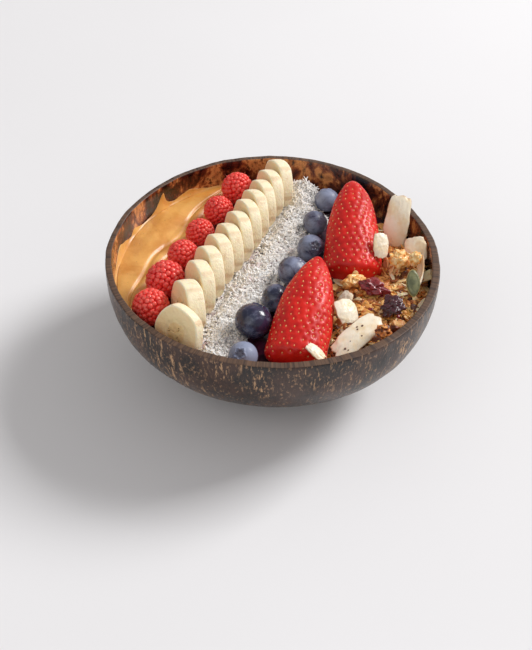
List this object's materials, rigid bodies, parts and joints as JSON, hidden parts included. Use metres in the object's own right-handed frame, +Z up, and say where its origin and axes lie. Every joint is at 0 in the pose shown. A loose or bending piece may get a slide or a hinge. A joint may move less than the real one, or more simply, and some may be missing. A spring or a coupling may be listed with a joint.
{
  "type": "fruit smoothie bowl",
  "caption": "Thick berry smoothie in a coconut-shell bowl, topped with rows of nut butter, raspberries, banana, coconut, blueberries, strawberries and granola.",
  "frame": {"origin": "centre of the bowl's flat foot, on the surface it stands on", "axes": "+Z up; +Y away from the front of the bowl; the rows of toppings run from front left to back right; +X to the right"},
  "size_m": [0.155, 0.155, 0.0703],
  "materials": {
    "coconut_shell": "polished dark brown shell with tan fibres",
    "berry_smoothie": "thick dark purple cream",
    "nut_butter": "glossy golden brown spread",
    "raspberry": "moist red",
    "banana": "pale cream, slightly moist",
    "blueberry": "dark blue with pale bloom",
    "strawberry": "glossy red",
    "coconut": "white shreds",
    "baked_oats": "golden brown, dry",
    "coconut_chip": "ivory with toasted edges",
    "dried_cranberry": "dark red, sticky",
    "almond": "toasted brown",
    "pumpkin_seed": "grey green"
  },
  "bodies": {
    "root": {"coconut_shell_bowl": "coconut_shell", "smoothie_base": "berry_smoothie", "nut_butter": "nut_butter", "raspberry_1": "raspberry", "raspberry_2": "raspberry", "raspberry_3": "raspberry", "raspberry_4": "raspberry", "raspberry_5": "raspberry", "raspberry_6": "raspberry", "banana_slice_1": "banana", "banana_slice_2": "banana", "banana_slice_3": "banana", "banana_slice_4": "banana", "banana_slice_5": "banana", "banana_slice_6": "banana", "banana_slice_7": "banana", "banana_slice_8": "banana", "banana_slice_9": "banana", "banana_slice_10": "banana", "banana_slice_11": "banana", "banana_slice_12": "banana", "shredded_coconut": "coconut", "blueberry_1": "blueberry", "blueberry_2": "blueberry", "blueberry_3": "blueberry", "blueberry_4": "blueberry", "blueberry_5": "blueberry", "blueberry_6": "blueberry", "blueberry_7": "blueberry", "strawberry_half_1": "strawberry", "strawberry_half_2": "strawberry", "granola": "baked_oats", "coconut_chip_1": "coconut_chip", "coconut_chip_2": "coconut_chip", "coconut_chip_3": "coconut_chip", "coconut_chip_4": "coconut_chip", "coconut_chip_5": "coconut_chip", "coconut_chip_6": "coconut_chip", "coconut_chip_7": "coconut_chip", "coconut_chip_8": "coconut_chip", "oat_cluster_1": "baked_oats", "oat_cluster_2": "baked_oats", "oat_cluster_3": "baked_oats", "oat_cluster_4": "baked_oats", "dried_cranberry_1": "dried_cranberry", "dried_cranberry_2": "dried_cranberry", "almond_piece": "almond", "pumpkin_seed": "pumpkin_seed"}
  },
  "joints": []
}
